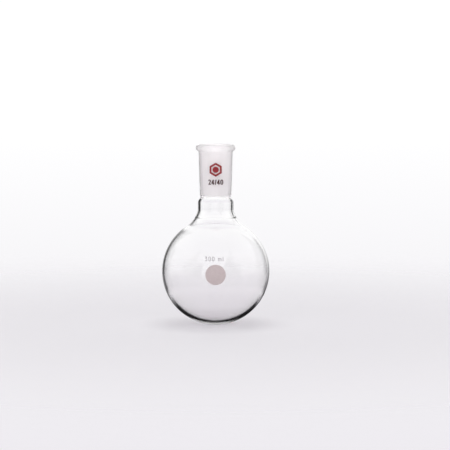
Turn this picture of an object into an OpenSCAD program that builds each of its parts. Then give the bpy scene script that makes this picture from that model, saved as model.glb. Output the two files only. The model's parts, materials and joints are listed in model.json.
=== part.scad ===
// Round bottom flask, 300 ml, with one short neck and a 24/40 ground glass socket.
// Millimetres, +Z up. The origin is the lowest point of the bulb, on the flask's axis,
// and the printed marks face -Y.
//
// The glass is three blanks fused end to end on flat seams: a blown bulb with its
// shoulder, a short neck tube, and a ground joint with a beaded rim. The marks are
// thin coats of fired enamel that lie on the outside of the glass.

/* [Bulb] */
// Outside diameter of the bulb
bulb_d = 88; // [86:1:90]
// Glass thickness of the bulb under the shoulder
bulb_wall = 1.4; // [1.2:0.1:1.8]
// Glass thickness at the bulb's lowest point
bottom_wall = 2.6; // [2.1:0.1:2.9]
// Angle from the axis at which the ball turns into the shoulder
shoulder_angle = 32; // [30:1:34]

/* [Neck] */
// Outside diameter of the neck tube
neck_d = 29.2; // [28.6:0.1:29.8]
// Glass thickness of the neck tube
neck_wall = 2; // [1.8:0.1:2.2]
// Outside diameter of the waist where the neck meets the joint
waist_d = 25; // [24.4:0.1:25.4]
// Height of the straight stretch of the neck that a clamp grips
grip_length = 5; // [4.5:0.1:5.5]

/* [Joint] */
// Bore diameter at the wide end of the ground taper
joint_bore_d = 24; // [24]
// Length of the ground taper
joint_length = 40; // [40]
// Loss of bore diameter per millimetre down the ground taper
joint_taper = 0.1; // [0.1]
// Outside diameter of the joint at its foot
joint_foot_d = 25.9; // [25.6:0.1:26.2]
// Outside diameter of the joint under its rim
joint_top_d = 28; // [27.6:0.1:28.4]
// Outside diameter of the beaded rim
rim_d = 32.4; // [31.6:0.1:33]
// Thickness of the bead
bead_d = 5.2; // [4.8:0.1:5.6]

/* [Marks] */
// Diameter of the round marking spot
spot_d = 16.4; // [14:0.2:18]
// Height of the capacity figures
capacity_h = 3.6; // [3:0.1:4.2]
// Height of the joint-size figures
joint_size_h = 4.1; // [3.5:0.1:4.5]
// Height of the hexagon from point to point
emblem_h = 11.4; // [9:0.2:12]
// Thickness of the fired enamel
enamel = 0.15; // [0.1:0.05:0.25]

/* [Hidden] */

$fn = 144;
arc_step = 3;          // degrees of a round stretch of the glass that one edge covers
curve_edges = 24;      // edges in each free curve of the glass
figure_step = 10;      // degrees of a round stretch of a figure that one edge covers

glass_tint = [0.86, 0.91, 0.92, 0.45];
ground_tint = [0.93, 0.92, 0.92, 0.9];
spot_grey = [0.78, 0.71, 0.71];
capacity_grey = [0.83, 0.81, 0.83];
mark_red = [0.55, 0.06, 0.1];
figure_red = [0.35, 0.07, 0.1];

// Heights, from the rim down to the seams
mouth_chamfer = 1;
total_h = 148;
ground_top = total_h - mouth_chamfer;
ground_foot = ground_top - joint_length;
joint_seam = ground_foot - 1;
waist_h = 6;
grip_top = joint_seam - waist_h;
grip_foot = grip_top - grip_length;
seam_drop = 7;         // from the grip's foot down to the bulb's seam
bulb_seam = grip_foot - seam_drop;

// Bulb, outside and inside
bulb_r = bulb_d / 2;
ball_centre = [0, bulb_r];
shoulder_reach = 5;    // how far the shoulder keeps the ball's slope
shoulder_rise = 3.6;   // how far the shoulder keeps the neck's upright
throat_reach = 5.4;    // the same two distances for the inside of the shoulder
throat_rise = 4.2;
seam_step = 0.25;      // how much narrower the throat is above the seam than below it
seam_step_h = 1.2;     // height over which it narrows

// Neck
neck_r = neck_d / 2;
bore_r = neck_r - neck_wall;
waist_r = waist_d / 2;

// Joint, bead, and the fillet under the bead
mouth_r = joint_bore_d / 2;
ground_foot_r = mouth_r - joint_length * joint_taper / 2;
seam_bore_r = ground_foot_r + 0.25;
joint_foot = [joint_foot_d / 2, joint_seam + 1.4];
bead_r = bead_d / 2;
bead_centre = [rim_d / 2 - bead_r, total_h - bead_r];
bead_fillet = 1.2;
joint_top_r = joint_top_d / 2;
fillet_x = joint_top_r + bead_fillet;
fillet_drop = sqrt((bead_r + bead_fillet) ^ 2 - (fillet_x - bead_centre[0]) ^ 2);
fillet_centre = [fillet_x, bead_centre[1] - fillet_drop];
fillet_turn = atan2(fillet_drop, bead_centre[0] - fillet_x);

// Middles of the marks, as [distance to the right of the axis, height]
spot_at = [0, 45.5];
capacity_at = [-1.2, 58.2];
joint_size_at = [0, 118.1];
emblem_at = [0, 128.3];
emblem_line = 1.7;     // how far the hexagon's inner corners lie within its outer ones
emblem_disc_d = 5;

// Proportions of the figures, as shares of their height
capacity_weight = 0.14;    // width of a stroke
joint_size_weight = 0.19;
figure_w = 0.56;
slash_w = 0.36;
space_w = 0.3;
capacity_gap = 0.25;
joint_size_gap = 0.1;
x_height = 0.68;
m_arch = 0.16;         // radius of the middle of an arch of the m
m_shoulder = 0.455;    // height at which its arches start

// Points on an arc about centre, from angle a to angle b
function arc(centre, r, a, b, step = arc_step) =
    let (n = max(2, ceil(abs(b - a) / step)))
    [for (i = [0:n]) let (t = a + (b - a) * i / n) centre + r * [cos(t), sin(t)]];

// Points on a free curve from a to d, which leaves towards b and arrives from c
function curve(a, b, c, d) =
    [for (i = [0:curve_edges]) let (t = i / curve_edges, u = 1 - t)
        u ^ 3 * a + 3 * u ^ 2 * t * b + 3 * u * t ^ 2 * c + t ^ 3 * d];

// The wall of the bulb at an angle from the upward axis: it thickens towards the bottom
function wall_at(t) = bulb_wall + (bottom_wall - bulb_wall) * ((1 - cos(t)) / 2) ^ 3;

// The inside of the bulb, from its lowest point up to the shoulder
function cavity() =
    let (n = ceil((180 - shoulder_angle) / arc_step))
    [for (i = [0:n])
        let (t = 180 - (180 - shoulder_angle) * i / n)
        ball_centre + (bulb_r - wall_at(t)) * [sin(t), cos(t)]];

// One side of the shoulder: it leaves a ball along its slope and ends upright on the neck
function shoulder(ball_r, tube_r, reach, rise) =
    let (start = ball_centre + ball_r * [sin(shoulder_angle), cos(shoulder_angle)],
         slope = [-cos(shoulder_angle), sin(shoulder_angle)])
    curve(start, start + reach * slope, [tube_r, grip_foot - rise], [tube_r, grip_foot]);

// How far a height is through the step at the seam: 0 below the step and 1 above it
function step_share(z) =
    let (t = min(1, max(0, (z - bulb_seam) / seam_step_h + 0.5)))
    (1 - cos(180 * t)) / 2;

// The inside of the shoulder, with the step that the fused seam leaves
function throat() =
    [for (p = shoulder(bulb_r - wall_at(shoulder_angle), bore_r + seam_step, throat_reach, throat_rise))
        p - [seam_step * step_share(p[1]), 0]];

// The same points in the opposite order
function turned_round(points) = [for (i = [len(points) - 1:-1:0]) points[i]];

// The outside of the waist, from the top of the grip in to the joint's seam
function waist() =
    curve([neck_r, grip_top], [neck_r, grip_top + 0.48 * waist_h],
          [waist_r, joint_seam - 0.5 * waist_h], [waist_r, joint_seam]);

// The outside of the joint's foot, from the seam out to its tapered wall
function joint_foot_curve() =
    curve([waist_r, joint_seam], [waist_r, joint_seam + 0.7],
          joint_foot - [0.03, 0.8], joint_foot);

// The inside of the waist, from the joint's bore out to the neck's bore
function inner_waist() =
    curve([seam_bore_r, joint_seam], [seam_bore_r + 0.4, joint_seam - 0.35 * waist_h],
          [bore_r, grip_top + 0.4 * waist_h], [bore_r, grip_top]);

// The same points with each repeated one left out
function once_each(points) =
    [for (i = [0:len(points) - 1]) if (i == 0 || norm(points[i] - points[i - 1]) > 0.001) points[i]];

// The glass of the whole flask, on one side of the axis
module glass_outline() {
    polygon(once_each(concat(
        arc(ball_centre, bulb_r, -90, 90 - shoulder_angle),
        shoulder(bulb_r, neck_r, shoulder_reach, shoulder_rise),
        waist(),
        joint_foot_curve(),
        arc(fillet_centre, bead_fillet, 180, fillet_turn),
        arc(bead_centre, bead_r, fillet_turn - 180, 90),
        [[mouth_r + 0.6, total_h]],
        [[mouth_r, ground_top]],
        [[ground_foot_r, ground_foot]],
        inner_waist(),
        turned_round(throat()),
        turned_round(cavity())
    )));
}

// The ring of glass between two heights
module glass_between(low, high) {
    rotate_extrude()
        intersection() {
            glass_outline();
            translate([-1, low]) square([bulb_d, high - low]);
        }
}

// Directions and strokes in the plane
function unit(v) = v / norm(v);
function left_of(v) = [-v[1], v[0]];

// The point beside path[i], square to the path there or on its mitre
function beside(path, i, reach) =
    let (last = len(path) - 1,
         before = i > 0 ? unit(path[i] - path[i - 1]) : unit(path[1] - path[0]),
         after = i < last ? unit(path[i + 1] - path[i]) : before)
    path[i] + reach * left_of(before + after) / (1 + before * after);

// The outline of a stroke, w wide, that follows path
function stroke(path, w) =
    let (last = len(path) - 1)
    concat([for (i = [0:last]) beside(path, i, w / 2)],
           [for (i = [last:-1:0]) beside(path, i, -w / 2)]);

// Outlines of the figures, one unit high, with their left foot at the origin and strokes w wide
function bend(centre, r, a, b) = arc(centre, r, a, b, figure_step);

function oval(inset) =
    let (r = figure_w / 2 - inset, middle = figure_w / 2)
    concat(bend([middle, 1 - middle], r, 0, 180), bend([middle, middle], r, 180, 360));

function two(w) =
    let (r = (figure_w - w) / 2, middle = figure_w / 2)
    stroke(concat(bend([middle, 1 - w / 2 - r], r, 165, -38),
                  [[w, w / 2], [figure_w, w / 2]]), w);

function three_top(w) =
    stroke([[0.03, 1 - w / 2], [figure_w - 0.12, 1 - w / 2], [0.17, 0.52]], w);

function three_bowl(w) =
    let (r = 0.305 - w / 2)
    stroke(bend([figure_w - w / 2 - r, 0.305], r, 100, -150), w);

// The 4 has a stem, a crossbar and a slope that meets the top of the stem
function four_stem(w) = 0.46 - w;
function four_bar(w) = 0.2 + w;

function four(w) =
    let (left = four_stem(w), right = left + w, high = four_bar(w), low = high - w)
    [[left, 1], [right, 1], [right, high], [figure_w, high], [figure_w, low],
     [right, low], [right, 0], [left, 0], [left, low], [0, low], [0, high]];

function four_eye(w) =
    let (left = four_stem(w), high = four_bar(w), slope = norm([left, 1 - high]))
    [[w * slope / (1 - high), high], [left, high], [left, 1 - w * slope / left]];

function letter_m(w) =
    let (half = w / 2,
         one = [half + m_arch, m_shoulder],
         two = [half + 3 * m_arch, m_shoulder],
         crotch = acos(m_arch / (m_arch + half)))
    once_each(concat(
        [[0, 0], [0, x_height], [w, x_height]],
        bend(one, m_arch + half, 112, crotch),
        bend(two, m_arch + half, 180 - crotch, 0),
        [[4 * m_arch + w, 0], [4 * m_arch, 0]],
        bend(two, m_arch - half, 0, 180),
        [[2 * m_arch + w, 0], [2 * m_arch, 0]],
        bend(one, m_arch - half, 0, 180),
        [[w, 0]]
    ));

// One figure, h high, with strokes of weight w
module figure(c, h, w) {
    if (c == "0") difference() {
        polygon(h * oval(0));
        polygon(h * oval(w));
    }
    if (c == "2") polygon(h * two(w));
    if (c == "3") {
        polygon(h * three_top(w));
        polygon(h * three_bowl(w));
    }
    if (c == "4") difference() {
        polygon(h * four(w));
        polygon(h * four_eye(w));
    }
    if (c == "/") polygon(h * stroke([[w / 2, 0], [slash_w - w / 2, 1]], w));
    if (c == "m") polygon(h * letter_m(w));
    if (c == "l") square([h * w, h]);
}

function width_of(c, w) =
    c == "m" ? 4 * m_arch + w : c == "l" ? w : c == "/" ? slash_w : c == " " ? space_w : figure_w;

// Distance from the start of the row to the start of figure n
function start_of(row, n, gap, w) =
    n == 0 ? 0 : start_of(row, n - 1, gap, w) + width_of(row[n - 1], w) + gap;

// A row of figures, h high, with its middle at the origin
module figures(row, h, gap, w) {
    row_w = start_of(row, len(row), gap, w) - gap;
    for (i = [0:len(row) - 1])
        translate(h * [start_of(row, i, gap, w) - row_w / 2, -0.5])
            figure(row[i], h, w);
}

// A hexagonal ring with a disc in it
module hexagon_mark() {
    rotate(90) difference() {
        circle(d = emblem_h, $fn = 6);
        circle(d = emblem_h - 2 * emblem_line, $fn = 6);
    }
    circle(d = emblem_disc_d);
}

// A flat drawing with its middle at a place on the front, carried out through the glass
module through_front(at) {
    translate([at[0], 0, at[1]])
        rotate([90, 0, 0])
            linear_extrude(bulb_d)
                children();
}

// The coat of enamel that the bulb's outside would carry all over
module bulb_coat() {
    translate([0, 0, bulb_r])
        difference() {
            sphere(bulb_r + enamel);
            sphere(bulb_r);
        }
}

// The same on the joint's tapered wall
module joint_coat() {
    top = [joint_top_r, fillet_centre[1]];
    out = [enamel, 0];
    rotate_extrude()
        polygon([joint_foot, joint_foot + out, top + out, top]);
}

module bulb() {
    color(glass_tint)
        glass_between(-1, bulb_seam);
}

module neck() {
    color(glass_tint)
        glass_between(bulb_seam, joint_seam);
}

module joint_socket() {
    color(ground_tint)
        glass_between(joint_seam, total_h + 1);
}

module marking_spot() {
    color(spot_grey)
        intersection() {
            bulb_coat();
            through_front(spot_at) circle(d = spot_d);
        }
}

module capacity_marking() {
    color(capacity_grey)
        intersection() {
            bulb_coat();
            through_front(capacity_at)
                figures("300 ml", capacity_h, capacity_gap, capacity_weight);
        }
}

module joint_size_marking() {
    color(figure_red)
        intersection() {
            joint_coat();
            through_front(joint_size_at)
                figures("24/40", joint_size_h, joint_size_gap, joint_size_weight);
        }
}

module emblem() {
    color(mark_red)
        intersection() {
            joint_coat();
            through_front(emblem_at) hexagon_mark();
        }
}

bulb();
neck();
joint_socket();
marking_spot();
capacity_marking();
joint_size_marking();
emblem();
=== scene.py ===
"""Looks of the round bottom flask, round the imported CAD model. Metres, +Z up, front towards -Y.

The glass is three closed pieces that meet on flat seams, as the CAD blanks do. Each one is turned
from the same outline, with exact normals, so that light bends through the wall without steps.
"""

import json
import math

import bmesh
import bpy
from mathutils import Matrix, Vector

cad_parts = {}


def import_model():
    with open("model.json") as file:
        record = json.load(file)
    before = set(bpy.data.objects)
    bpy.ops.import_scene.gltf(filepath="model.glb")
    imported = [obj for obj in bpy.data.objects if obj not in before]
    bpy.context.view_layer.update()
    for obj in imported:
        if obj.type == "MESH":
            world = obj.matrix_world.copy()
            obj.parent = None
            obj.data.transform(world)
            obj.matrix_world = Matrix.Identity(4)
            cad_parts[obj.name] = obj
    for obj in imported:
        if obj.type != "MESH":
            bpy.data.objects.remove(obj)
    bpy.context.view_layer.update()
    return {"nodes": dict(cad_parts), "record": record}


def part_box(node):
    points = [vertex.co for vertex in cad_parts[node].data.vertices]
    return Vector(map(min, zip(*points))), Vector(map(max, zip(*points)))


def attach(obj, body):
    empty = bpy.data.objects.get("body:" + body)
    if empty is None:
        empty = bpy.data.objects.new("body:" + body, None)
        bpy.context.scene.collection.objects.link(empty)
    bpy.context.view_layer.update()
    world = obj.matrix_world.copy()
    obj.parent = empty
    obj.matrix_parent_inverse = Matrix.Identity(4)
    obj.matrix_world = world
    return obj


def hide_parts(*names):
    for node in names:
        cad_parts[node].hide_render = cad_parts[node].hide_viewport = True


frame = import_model()

MM = 0.001
TURN_STEPS = 256          # faces round a turned piece
TINY = 1e-6               # points closer than this are one, and a smaller radius is the axis
BELOW_ALL, ABOVE_ALL = -1, 1

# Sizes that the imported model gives
MOUNTS = {m["name"]: m for m in frame["record"]["mounts"]}
GRIP = MOUNTS["neck_grip"]
BULB_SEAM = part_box("neck")[0].z
JOINT_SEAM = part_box("joint_socket")[0].z
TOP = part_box("joint_socket")[1].z
NECK_R = GRIP["dims"]["r_mm"] * MM
GRIP_HALF = GRIP["dims"]["length_mm"] * MM / 2
GRIP_FOOT = GRIP["pos_m"][2] - GRIP_HALF
GRIP_TOP = GRIP["pos_m"][2] + GRIP_HALF
GROUND_TOP = MOUNTS["joint_24_40"]["pos_m"][2]

# Sizes of the bulb and its shoulder, as the CAD model has them
BULB_R = 44 * MM
BULB_WALL = 1.4 * MM
BOTTOM_WALL = 2.6 * MM
SHOULDER_ANGLE = math.radians(32)     # from the axis to where the shoulder leaves the ball
SHOULDER_REACH = 5 * MM               # how far the shoulder's curve goes on along the ball
SHOULDER_RISE = 3.6 * MM              # and how far along the neck
THROAT_REACH = 5.4 * MM               # the same two inside
THROAT_RISE = 4.2 * MM
SEAM_STEP = 0.25 * MM                 # the bore is this much wider below the bulb's seam
SEAM_STEP_HALF = 0.6 * MM             # half of the height that the step takes

# Sizes of the neck and its waist
NECK_WALL = 2 * MM
WAIST = JOINT_SEAM - GRIP_TOP
WAIST_R = 12.5 * MM
WAIST_CURVE = (0.48, 0.5)             # how far its curve leaves and arrives straight
WAIST_BORE_CURVE = (0.35, 0.4)        # the same inside, from the top down

# Sizes of the joint and its beaded rim
GROUND_FOOT = GROUND_TOP - 40 * MM
GROUND_TOP_R = 12 * MM
GROUND_FOOT_R = 10 * MM
SEAM_BORE_R = GROUND_FOOT_R + 0.25 * MM
MOUTH_CHAMFER = 0.6 * MM
JOINT_FOOT = (12.95 * MM, JOINT_SEAM + 1.4 * MM)
JOINT_TOP_R = 14 * MM
RIM_R = 16.2 * MM
BEAD_R = 2.6 * MM
BEAD_FILLET = 1.2 * MM

CLEAR, SEAM, GROUND = range(3)        # material slots of a glass piece


# ---------------------------------------------------------------- outline of the glass

def arc(centre, r, start, end, steps):
    """Points on an arc, angles in degrees."""
    points = []
    for i in range(steps + 1):
        t = math.radians(start + (end - start) * i / steps)
        points.append((centre[0] + r * math.cos(t), centre[1] + r * math.sin(t)))
    return points


def curve(a, b, c, d, steps=28):
    """Points on a free curve from a to d, which leaves towards b and arrives from c."""
    points = []
    for i in range(steps + 1):
        t = i / steps
        w = ((1 - t) ** 3, 3 * (1 - t) ** 2 * t, 3 * (1 - t) * t ** 2, t ** 3)
        points.append(tuple(sum(k * p[n] for k, p in zip(w, (a, b, c, d))) for n in (0, 1)))
    return points


def straight(a, b, steps):
    """Points on a straight wall."""
    return [tuple(a[n] + (b[n] - a[n]) * i / steps for n in (0, 1)) for i in range(steps + 1)]


def joined(*stretches):
    """One run of points from stretches that follow on smoothly, with no point twice."""
    run = []
    for point in (p for s in stretches for p in s):
        if not run or math.dist(run[-1], point) > TINY:
            run.append(point)
    return run


def up_the_shoulder(point, length):
    """The point that far up the tangent to the ball at the shoulder."""
    return (point[0] - length * math.cos(SHOULDER_ANGLE),
            point[1] + length * math.sin(SHOULDER_ANGLE))


def outside_run():
    """The outside of the whole flask, from the lowest point to the flat top of the rim."""
    ball = (0, BULB_R)
    shoulder = (BULB_R * math.sin(SHOULDER_ANGLE), BULB_R + BULB_R * math.cos(SHOULDER_ANGLE))
    grip_foot, grip_top, waist = (NECK_R, GRIP_FOOT), (NECK_R, GRIP_TOP), (WAIST_R, JOINT_SEAM)
    bead = (RIM_R - BEAD_R, TOP - BEAD_R)
    fillet_r = JOINT_TOP_R + BEAD_FILLET
    drop = math.sqrt((BEAD_R + BEAD_FILLET) ** 2 - (fillet_r - bead[0]) ** 2)
    turn = math.degrees(math.atan2(drop, bead[0] - fillet_r))
    fillet = (fillet_r, bead[1] - drop)
    return joined(
        arc(ball, BULB_R, -90, 90 - math.degrees(SHOULDER_ANGLE), steps=96),
        curve(shoulder, up_the_shoulder(shoulder, SHOULDER_REACH),
              (NECK_R, GRIP_FOOT - SHOULDER_RISE), grip_foot),
        straight(grip_foot, grip_top, steps=4),
        curve(grip_top, (NECK_R, GRIP_TOP + WAIST_CURVE[0] * WAIST),
              (WAIST_R, JOINT_SEAM - WAIST_CURVE[1] * WAIST), waist),
        curve(waist, (WAIST_R, JOINT_SEAM + 0.7 * MM),
              (JOINT_FOOT[0] - 0.03 * MM, JOINT_FOOT[1] - 0.8 * MM), JOINT_FOOT, steps=14),
        straight(JOINT_FOOT, (JOINT_TOP_R, fillet[1]), steps=24),
        arc(fillet, BEAD_FILLET, 180, turn, steps=12),
        arc(bead, BEAD_R, turn - 180, 90, steps=32),
    )


def cavity_run(steps=96):
    """The inside of the bulb, from the shoulder down, where the wall thickens towards the foot."""
    points = []
    for i in range(steps + 1):
        t = SHOULDER_ANGLE + (math.pi - SHOULDER_ANGLE) * i / steps
        wall = BULB_WALL + (BOTTOM_WALL - BULB_WALL) * ((1 - math.cos(t)) / 2) ** 3
        points.append(((BULB_R - wall) * math.sin(t), BULB_R + (BULB_R - wall) * math.cos(t)))
    return points


def with_seam_step(points):
    """The throat's points, drawn in above the bulb's seam by one smooth step."""
    stepped = []
    for r, z in points:
        below = (BULB_SEAM + SEAM_STEP_HALF - z) / (2 * SEAM_STEP_HALF)
        share = (1 + math.cos(math.pi * min(1, max(0, below)))) / 2
        stepped.append((r - SEAM_STEP * share, z))
    return stepped


def inside_run():
    """The inside of the flask below the ground zone, down to the lowest point of the cavity."""
    bore = NECK_R - NECK_WALL
    wide = bore + SEAM_STEP
    cavity = cavity_run()
    throat = curve((wide, GRIP_FOOT), (wide, GRIP_FOOT - THROAT_RISE),
                   up_the_shoulder(cavity[0], THROAT_REACH), cavity[0], steps=80)
    return joined(
        straight((GROUND_FOOT_R, GROUND_FOOT), (SEAM_BORE_R, JOINT_SEAM), steps=2),
        curve((SEAM_BORE_R, JOINT_SEAM),
              (SEAM_BORE_R + 0.4 * MM, JOINT_SEAM - WAIST_BORE_CURVE[0] * WAIST),
              (bore, GRIP_TOP + WAIST_BORE_CURVE[1] * WAIST), (bore, GRIP_TOP)),
        straight((bore, GRIP_TOP), (bore, GRIP_FOOT), steps=4),
        with_seam_step(throat),
        cavity,
    )


def with_normals(run, slot):
    """The run as (radius, height, normal radius, normal height, slot), normals out of the glass."""
    rows = []
    for i, (r, z) in enumerate(run):
        a, b = run[max(i - 1, 0)], run[min(i + 1, len(run) - 1)]
        d = math.dist(a, b)
        rows.append((r, z, (b[1] - a[1]) / d, -(b[0] - a[0]) / d, slot))
    return rows


def cut(rows, low, high):
    """The part of a run between two heights, with a row put in exactly at each of them."""
    kept = []
    for a, b in zip(rows, rows[1:]):
        for z in sorted((low, high), reverse=b[1] < a[1]):
            if min(a[1], b[1]) < z < max(a[1], b[1]):
                t = (z - a[1]) / (b[1] - a[1])
                kept.append(tuple(p + (q - p) * t for p, q in zip(a[:4], b[:4])) + (a[4],))
        if low <= b[1] <= high:
            kept.append(b)
    if low <= rows[0][1] <= high:
        kept.insert(0, rows[0])
    return kept


def glass_runs():
    """Every smooth run of the flask's outline, in order round the section."""
    rim_edge = (RIM_R - BEAD_R, TOP)
    chamfer = (GROUND_TOP_R + MOUTH_CHAMFER, TOP)
    mouth = (GROUND_TOP_R, GROUND_TOP)
    foot = (GROUND_FOOT_R, GROUND_FOOT)
    return [
        with_normals(outside_run(), CLEAR),
        with_normals(straight(rim_edge, chamfer, steps=1), GROUND),
        with_normals(straight(chamfer, mouth, steps=1), GROUND),
        with_normals(straight(mouth, foot, steps=48), GROUND),
        with_normals(inside_run(), CLEAR),
    ]


def section(low, high):
    """The runs round the section between two heights, with a flat seam wherever it is cut."""
    runs = [r for r in (cut(run, low, high) for run in glass_runs()) if len(r) > 1]
    closed = []
    for run, after in zip(runs, runs[1:] + runs[:1]):
        closed.append(run)
        a, b = run[-1], after[0]
        if math.dist(a[:2], b[:2]) > TINY and max(a[0], b[0]) > TINY:
            up = 1 if b[0] < a[0] else -1
            closed.append([(a[0], a[1], 0, up, SEAM), (b[0], b[1], 0, up, SEAM)])
    return closed


def turned_glass(name, low, high):
    """The ring of glass between two heights, closed by its seams, as one mesh object."""
    mesh = bpy.data.meshes.new(name)
    verts, rings, faces, slots, normals = [], {}, [], [], []
    turns = [2 * math.pi * k / TURN_STEPS for k in range(TURN_STEPS)]

    def ring(row):
        key = (round(row[0], 7), round(row[1], 7))
        if key not in rings:
            rings[key] = len(verts)
            for t in turns[:1] if row[0] < TINY else turns:
                verts.append((row[0] * math.sin(t), -row[0] * math.cos(t), row[1]))
        return rings[key]

    def normal(row, k):
        t = turns[k]
        return Vector((row[2] * math.sin(t), -row[2] * math.cos(t), row[3])).normalized()

    for run in section(low, high):
        for a, b in zip(run, run[1:]):
            ia, ib = ring(a), ring(b)
            for k in range(TURN_STEPS):
                n = (k + 1) % TURN_STEPS
                corners = [(ia, a, k), (ia, a, n), (ib, b, n), (ib, b, k)]
                if a[0] < TINY:
                    corners.pop(0)
                if b[0] < TINY:
                    corners.pop()
                faces.append([i if row[0] < TINY else i + s for i, row, s in corners])
                normals.extend(normal(row, s) for i, row, s in corners)
                slots.append(a[4])
    mesh.from_pydata(verts, [], faces)
    mesh.polygons.foreach_set("material_index", slots)
    mesh.polygons.foreach_set("use_smooth", [True] * len(faces))
    mesh.normals_split_custom_set(normals)
    mesh.validate(clean_customdata=False)
    return linked(name, mesh)


def linked(name, data):
    """A new object in the scene."""
    obj = bpy.data.objects.new(name, data)
    bpy.context.scene.collection.objects.link(obj)
    return obj


# ---------------------------------------------------------------- nodes

def material(name):
    """A new node material, with its tree and its Principled shader."""
    mat = bpy.data.materials.new(name)
    mat.use_nodes = True
    return mat, mat.node_tree, mat.node_tree.nodes["Principled BSDF"]


def maths(tree, operation, a, b=0.0, tolerance=0.5):
    """A Math node on two sockets or numbers. Only COMPARE takes the tolerance."""
    node = tree.nodes.new("ShaderNodeMath")
    node.operation = operation
    for socket, value in zip(node.inputs, (a, b, tolerance)):
        if isinstance(value, (int, float)):
            socket.default_value = value
        else:
            tree.links.new(value, socket)
    return node.outputs["Value"]


def ramp_value(tree, value, low, high, at_low=0, at_high=1):
    """A straight ramp from one number to another, level outside low to high."""
    fit = tree.nodes.new("ShaderNodeMapRange")
    numbers = (low, high, at_low, at_high)
    for socket, number in zip(("From Min", "From Max", "To Min", "To Max"), numbers):
        fit.inputs[socket].default_value = number
    tree.links.new(value, fit.inputs["Value"])
    return fit.outputs["Result"]


def ramp(tree, value, stops, smooth=False):
    """A colour ramp over value, from stops of (value, colour) in rising order."""
    low, high = stops[0][0], stops[-1][0]
    node = tree.nodes.new("ShaderNodeValToRGB")
    node.color_ramp.interpolation = "EASE" if smooth else "LINEAR"
    elements = node.color_ramp.elements
    elements[0].color = grey_or_colour(stops[0][1])
    elements[1].color = grey_or_colour(stops[-1][1])
    for at, colour in stops[1:-1]:
        elements.new((at - low) / (high - low)).color = grey_or_colour(colour)
    tree.links.new(ramp_value(tree, value, low, high), node.inputs["Fac"])
    return node.outputs["Color"]


def grey_or_colour(value):
    """A colour with full alpha, from one brightness or from three."""
    return (value, value, value, 1) if isinstance(value, (int, float)) else (*value, 1)


def mixed(tree, fac, a, b):
    """Colour a, turned into b as fac goes from 0 to 1."""
    mix = tree.nodes.new("ShaderNodeMix")
    mix.data_type = "RGBA"
    tree.links.new(fac, mix.inputs["Factor"])
    for socket, value in zip((mix.inputs[6], mix.inputs[7]), (a, b)):
        if isinstance(value, tuple):
            socket.default_value = grey_or_colour(value)
        else:
            tree.links.new(value, socket)
    return mix.outputs[2]


def noise(tree, scale, detail=3.0, roughness=0.5):
    """A noise texture on the object's own coordinates, with scale in features a metre."""
    where = tree.nodes.new("ShaderNodeTexCoord")
    node = tree.nodes.new("ShaderNodeTexNoise")
    node.inputs["Scale"].default_value = scale
    node.inputs["Detail"].default_value = detail
    node.inputs["Roughness"].default_value = roughness
    tree.links.new(where.outputs["Object"], node.inputs["Vector"])
    return node.outputs["Fac"]


def noise_spread(tree, fac, low, high):
    """Noise spread over low to high, from the 0.3 to 0.7 that it mostly keeps to."""
    return ramp_value(tree, fac, 0.3, 0.7, low, high)


def bump(tree, shader, height, strength, distance):
    """A bump of height on the shader's normal."""
    node = tree.nodes.new("ShaderNodeBump")
    node.inputs["Strength"].default_value = strength
    node.inputs["Distance"].default_value = distance
    tree.links.new(height, node.inputs["Height"])
    tree.links.new(node.outputs["Normal"], shader.inputs["Normal"])


# ---------------------------------------------------------------- materials

GLASS_IOR = 1.473
GLASS_TINT = [(0, (0.992, 0.978, 0.992)), (0.03, (0.998, 0.988, 0.997)),
              (0.05, (1, 0.998, 1)), (0.148, (1, 1, 1))]        # by height in metres
GLASS_UNEVEN = (0.99, 0.99, 0.99)


def clear_glass():
    """Fire-polished borosilicate, faintly lilac where the wall thickens and slightly uneven."""
    mat, tree, shader = material("clear_glass")
    where = tree.nodes.new("ShaderNodeTexCoord")
    split = tree.nodes.new("ShaderNodeSeparateXYZ")
    tree.links.new(where.outputs["Object"], split.inputs["Vector"])
    tint = ramp(tree, split.outputs["Z"], GLASS_TINT)
    uneven = noise_spread(tree, noise(tree, 60, detail=2), 0, 0.25)
    tree.links.new(mixed(tree, uneven, tint, GLASS_UNEVEN), shader.inputs["Base Color"])
    shader.inputs["Transmission Weight"].default_value = 1
    shader.inputs["IOR"].default_value = GLASS_IOR
    shader.inputs["Roughness"].default_value = 0
    return mat


def fused_seam():
    """The face where two blanks are fused, which light doesn't see."""
    mat, tree, shader = material("fused_seam")
    tree.nodes.remove(shader)
    clear = tree.nodes.new("ShaderNodeBsdfTransparent")
    tree.links.new(clear.outputs["BSDF"], tree.nodes["Material Output"].inputs["Surface"])
    return mat


def ground_glass():
    """The fine-ground inside of the joint."""
    mat, tree, shader = material("ground_glass")
    shader.inputs["Base Color"].default_value = (1, 0.98, 0.985, 1)
    shader.inputs["Transmission Weight"].default_value = 0.15
    shader.inputs["IOR"].default_value = GLASS_IOR
    grain = noise(tree, 2500, detail=4, roughness=0.6)
    tree.links.new(noise_spread(tree, grain, 0.9, 1), shader.inputs["Roughness"])
    bump(tree, shader, grain, strength=0.3, distance=0.05 * MM)
    return mat


def enamel(name, colour, dark):
    """Fired enamel, whose colour and gloss the firing left slightly uneven."""
    mat, tree, shader = material(name)
    cloud = noise(tree, 900, detail=5, roughness=0.65)
    tree.links.new(ramp(tree, cloud, [(0.35, dark), (0.65, colour)]), shader.inputs["Base Color"])
    grain = noise(tree, 4000)
    tree.links.new(noise_spread(tree, grain, 0.47, 0.63), shader.inputs["Roughness"])
    bump(tree, shader, grain, strength=0.25, distance=0.02 * MM)
    return mat


# ---------------------------------------------------------------- pieces

GLASS = [clear_glass(), fused_seam(), ground_glass()]


def finish_piece(piece, slot, *nodes):
    """Give a glass piece its materials and its body, and hide the CAD nodes that it stands for."""
    for mat in GLASS:
        piece.data.materials.append(mat)
    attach(piece, "root")
    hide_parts(*nodes)


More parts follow.
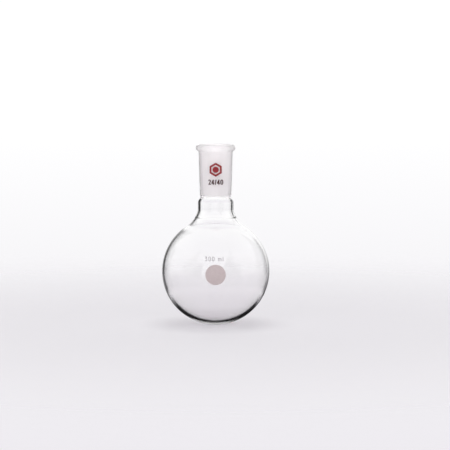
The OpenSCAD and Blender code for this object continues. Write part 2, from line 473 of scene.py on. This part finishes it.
finish_piece(turned_glass("flask_bulb", BELOW_ALL, BULB_SEAM), "clear_glass", "bulb")
finish_piece(turned_glass("flask_neck", BULB_SEAM, JOINT_SEAM), "clear_glass", "neck")
finish_piece(turned_glass("flask_joint", JOINT_SEAM, ABOVE_ALL), "ground_glass", "joint_socket")

for node, slot, colour, dark in (
    ("marking_spot", "spot_enamel", (0.535, 0.455, 0.46), (0.475, 0.395, 0.4)),
    ("capacity_marking", "pale_enamel", (0.42, 0.4, 0.42), (0.36, 0.34, 0.36)),
    ("joint_size_marking", "dark_red_enamel", (0.06, 0.006, 0.01), (0.045, 0.004, 0.007)),
    ("emblem", "red_enamel", (0.3, 0.004, 0.01), (0.24, 0.003, 0.007)),
):
    mark = frame["nodes"][node]
    mark.data.materials.clear()
    mark.data.materials.append(enamel(slot, colour, dark))


# ---------------------------------------------------------------- backdrop and light

# The backdrop's colour, by elevation in degrees
WHITE = (1.03, 1.03, 1.03)
SKY = [(-12, (0.83, 0.805, 0.85)), (-6, (0.93, 0.92, 0.94)), (-4.5, (0.965, 0.96, 0.975)),
       (-2, WHITE), (30, WHITE), (60, (0.85, 0.85, 0.86))]

# Dark flags, by slope: degrees above FLAG_LEVEL for each degree aside of the quarter's middle.
# At each height, the edge of a round bends light along one slope, so a stop here is the height
# at which the dark line ends. The strengths are by degrees aside.
FLAG_LEVEL = -6
LEAST_ASIDE = 0.1                     # keeps the slope finite
TALL_FLAG = [(-1.2, 1), (1.15, 1), (1.35, 0)]
TALL_STRENGTH = [(0, 0.6), (14, 0.62), (23, 1)]
SHORT_FLAG = [(-1.2, 1), (-0.35, 1), (-0.2, 0.9), (0.03, 0.8), (0.15, 0.55), (0.3, 0.35),
              (0.6, 0.12), (0.9, 0)]
SHORT_STRENGTH = [(0, 0.9), (14, 0.9), (20, 0.45), (28, 0.45), (32, 1)]

# Dark posts at the far sides of the flags, by degrees aside and by elevation
POST_ASIDE = [(22, 0), (26, 1)]
POST_RISE = [(-26, 0), (-20, 1), (18, 1), (24, 0)]
SHORT_POST = [(-0.3, 1), (-0.18, 0.5), (0.1, 0.25), (0.4, 0.12), (0.7, 0)]    # by slope
SHORT_POST_ASIDE = [(28, 0), (32, 1)]

# What the outside of the glass mirrors darker: all that is low, and the flags near the front and
# back, by degrees from there plus MIRRORED_RISE for each degree above or below FLAG_LEVEL
MIRRORED_LOW = [(-25, 1), (-12, 0.7), (-5, 0.3), (-1, 0)]
MIRRORED_REACH = [(50, 1), (62, 0)]
MIRRORED_RISE = 0.6

# Strength of the light on rough surfaces, at degrees from the front and back
ROUGH_FRONT, ROUGH_SIDE = (20, 1.8), (70, 0.1)


def edge_light(tree):
    """1 for light that has crossed just two faces of the glass, 0 for any other.

    Only light that runs along inside one wall does that, so this picks out the flask's edges.
    """
    path = tree.nodes.new("ShaderNodeLightPath")
    two_faces = maths(tree, "COMPARE", path.outputs["Transmission Depth"], 2.0)
    unscattered = maths(tree, "LESS_THAN", path.outputs["Diffuse Depth"], 0.5)
    return maths(tree, "MULTIPLY", two_faces, unscattered)


def mirrored_light(tree):
    """1 for light that the outside of the glass mirrors, 0 for any other."""
    path = tree.nodes.new("ShaderNodeLightPath")
    outside = maths(tree, "LESS_THAN", path.outputs["Transmission Depth"], 0.5)
    return maths(tree, "MULTIPLY", path.outputs["Is Glossy Ray"], outside)


def folded(tree, azimuth, span):
    """Degrees of azimuth from the nearest multiple of span, so that the world repeats itself."""
    shifted = maths(tree, "ADD", azimuth, 360 + span / 2)      # never below 0
    return maths(tree, "SUBTRACT", maths(tree, "MODULO", shifted, span), span / 2)


def flags(tree, turn, elevation):
    """How dark a quarter's flags and posts are: tall on one side of its middle, short on the other."""
    aside = maths(tree, "MAXIMUM", maths(tree, "ABSOLUTE", turn), LEAST_ASIDE)
    slope = maths(tree, "DIVIDE", maths(tree, "SUBTRACT", elevation, FLAG_LEVEL), aside)
    post = maths(tree, "MULTIPLY", ramp(tree, aside, POST_ASIDE), ramp(tree, elevation, POST_RISE))
    thinned = maths(tree, "MAXIMUM", ramp(tree, slope, SHORT_POST),
                    ramp(tree, aside, SHORT_POST_ASIDE))
    tall = maths(tree, "MULTIPLY", ramp(tree, slope, TALL_FLAG), ramp(tree, aside, TALL_STRENGTH))
    short = maths(tree, "MULTIPLY", ramp(tree, slope, SHORT_FLAG),
                  ramp(tree, aside, SHORT_STRENGTH))
    return mixed(tree, maths(tree, "GREATER_THAN", turn, 0),
                 maths(tree, "MAXIMUM", tall, post),
                 maths(tree, "MAXIMUM", short, maths(tree, "MULTIPLY", post, thinned)))


def world():
    """A pale backdrop all round, lighter upwards, with dark flags that only the glass picks up.

    Clear glass on a pale backdrop is drawn by dark flags beside it. They stand here in every
    quarter of the horizon. The edges of the glass see them in full, its outside mirrors them
    faintly, and nothing else sees them. Rough surfaces get their light from front and back.
    """
    studio = bpy.data.worlds.new("studio")
    bpy.context.scene.world = studio
    studio.use_nodes = True
    tree = studio.node_tree
    coord = tree.nodes.new("ShaderNodeTexCoord")
    split = tree.nodes.new("ShaderNodeSeparateXYZ")
    tree.links.new(coord.outputs["Generated"], split.inputs["Vector"])
    elevation = maths(tree, "DEGREES", maths(tree, "ARCSINE", split.outputs["Z"]))
    azimuth = maths(tree, "DEGREES", maths(tree, "ARCTAN2", split.outputs["X"], split.outputs["Y"]))
    from_front = maths(tree, "ABSOLUTE", folded(tree, azimuth, 180))
    flag = flags(tree, folded(tree, azimuth, 90), elevation)
    at_edges = maths(tree, "MULTIPLY", flag, edge_light(tree))

    off_level = maths(tree, "ABSOLUTE", maths(tree, "SUBTRACT", elevation, FLAG_LEVEL))
    reach = maths(tree, "ADD", from_front, maths(tree, "MULTIPLY", off_level, MIRRORED_RISE))
    in_reach = maths(tree, "MULTIPLY", flag, ramp(tree, reach, MIRRORED_REACH))
    dark = maths(tree, "MAXIMUM", in_reach, ramp(tree, elevation, MIRRORED_LOW))
    mirrored = maths(tree, "MULTIPLY", mirrored_light(tree), dark)
    shade = mixed(tree, maths(tree, "MAXIMUM", at_edges, mirrored), ramp(tree, elevation, SKY),
                  (0.0, 0.0, 0.0))

    path = tree.nodes.new("ShaderNodeLightPath")
    scattered = maths(tree, "GREATER_THAN", path.outputs["Diffuse Depth"], 0.5)
    on_rough = ramp_value(tree, from_front, ROUGH_FRONT[0], ROUGH_SIDE[0],
                          ROUGH_FRONT[1], ROUGH_SIDE[1])
    change = maths(tree, "MULTIPLY", scattered, maths(tree, "SUBTRACT", on_rough, 1.0))
    background = tree.nodes["Background"]
    tree.links.new(maths(tree, "ADD", 1.0, change), background.inputs["Strength"])
    tree.links.new(shade, background.inputs["Color"])


# ---------------------------------------------------------------- floor

FLOOR_R = 0.8
FLOOR = (0.885, 0.866, 0.895)
# Painted shadow: the colour the floor is darkened to under the flask
FLOOR_PAINTED_SHADOW = (0.55, 0.53, 0.56)
# Painted dark, seen only by light along the glass's edges and light that the glass mirrors
FLOOR_PAINTED_DARK = (0.02, 0.018, 0.02)

# Shares of each, by distance from the flask's foot in metres
# Painted contact shadow
PAINTED_CONTACT_SHADOW = [(0, 0.5), (0.025, 0.4), (0.07, 0)]
# Painted dark reflections, for edge light and for mirrored light
PAINTED_DARK_AT_EDGES = [(0.05, 1), (0.08, 0)]
PAINTED_DARK_MIRRORED = [(0.05, 1), (0.12, 0.85), (0.3, 0.6), (0.8, 0.2)]
SOLID = [(0.1, 1), (0.62, 0)]
OPEN_AT_EDGES = [(0.085, 0), (0.12, 1)]         # where edge light goes on to the flags


def floor():
    """A pale round floor that fades into the backdrop, with a shadow painted into its colour under the
    flask.

    To edge light and mirrored light it is painted dark, a painted dark reflection in the foot of the
    glass, and pale elsewhere.
    """
    data = bmesh.new()
    bmesh.ops.create_circle(data, cap_ends=True, segments=128, radius=FLOOR_R)
    mesh = bpy.data.meshes.new("floor")
    data.to_mesh(mesh)
    data.free()
    obj = linked("floor", mesh)
    mat, tree, shader = material("pale_floor_painted_shade")
    shader.inputs["Roughness"].default_value = 0.9
    shader.inputs["Specular IOR Level"].default_value = 0.1
    where = tree.nodes.new("ShaderNodeTexCoord")
    length = tree.nodes.new("ShaderNodeVectorMath")
    length.operation = "LENGTH"
    tree.links.new(where.outputs["Object"], length.inputs[0])
    away = length.outputs["Value"]
    edge = edge_light(tree)
    # Painted dark reflections: the floor's colour turned near black towards the flask, for edge light
    # and mirrored light
    dark = maths(tree, "MAXIMUM",
                 maths(tree, "MULTIPLY", ramp(tree, away, PAINTED_DARK_AT_EDGES), edge),
                 maths(tree, "MULTIPLY", ramp(tree, away, PAINTED_DARK_MIRRORED), mirrored_light(tree)))
    # Painted shadow: the floor's colour darkened towards the flask's foot
    floor_with_painted_shadow = mixed(tree, ramp(tree, away, PAINTED_CONTACT_SHADOW, smooth=True), FLOOR, FLOOR_PAINTED_SHADOW)
    tree.links.new(mixed(tree, dark, floor_with_painted_shadow, FLOOR_PAINTED_DARK), shader.inputs["Base Color"])
    opened = maths(tree, "MULTIPLY", ramp(tree, away, OPEN_AT_EDGES), edge)
    alpha = maths(tree, "MULTIPLY", ramp(tree, away, SOLID, smooth=True),
                  maths(tree, "SUBTRACT", 1.0, opened))
    tree.links.new(alpha, shader.inputs["Alpha"])
    obj.data.materials.append(mat)


# ---------------------------------------------------------------- camera and render

CAMERA_AIM = Vector((7.6 * MM, 0, 82 * MM))
CAMERA_TILT = math.radians(5)         # above the horizon
CAMERA_AWAY = 2.0
CAMERA_LENS = 195
CAMERA_SENSOR = 36


def camera():
    """The photograph's angle, with a long lens from far off."""
    data = bpy.data.cameras.new("camera")
    data.lens = CAMERA_LENS
    data.sensor_width = CAMERA_SENSOR
    obj = linked("camera", data)
    back = Vector((0, -math.cos(CAMERA_TILT), math.sin(CAMERA_TILT)))
    obj.location = CAMERA_AIM + CAMERA_AWAY * back
    obj.rotation_euler = (-back).to_track_quat("-Z", "Y").to_euler()
    bpy.context.scene.camera = obj


def light_paths():
    """Plain colours, enough bounces to cross four walls, and no blur on what glass mirrors."""
    bpy.context.scene.view_settings.view_transform = "Standard"
    cycles = bpy.context.scene.cycles
    cycles.blur_glossy = 0
    cycles.max_bounces = cycles.transmission_bounces = cycles.transparent_max_bounces = 24
    cycles.diffuse_bounces = cycles.glossy_bounces = 12


world()
floor()
camera()
light_paths()
